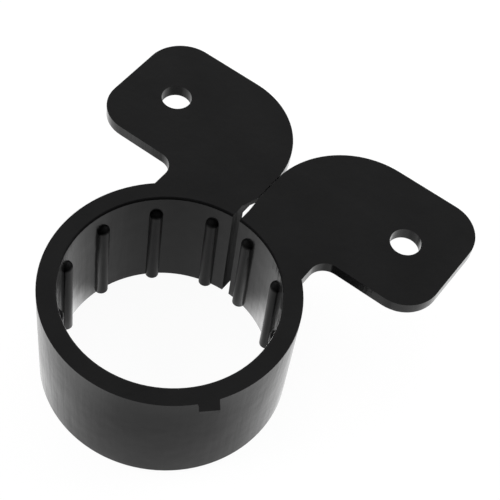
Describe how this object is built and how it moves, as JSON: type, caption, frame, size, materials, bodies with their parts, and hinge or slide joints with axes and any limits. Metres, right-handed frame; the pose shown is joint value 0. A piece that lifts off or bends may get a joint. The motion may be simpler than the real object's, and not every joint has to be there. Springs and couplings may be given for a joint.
{
  "type": "insulating pipe clamp",
  "caption": "Black plastic split ring with inner ribs and two flat nail ears; sits in a bored stud and holds a pipe clear of the wood.",
  "frame": {"origin": "on the pipe axis at the ring's nose, where the ring stands", "axes": "+Z along the pipe axis from the nose to the ear face, +Y from the pipe axis to the split and the ears, +X towards one nail hole"},
  "size_m": [0.057, 0.0556, 0.0188],
  "materials": {
    "black_polypropylene": "satin moulded, black all through"
  },
  "bodies": {
    "root": {"clamp_body": "black_polypropylene"}
  },
  "joints": []
}
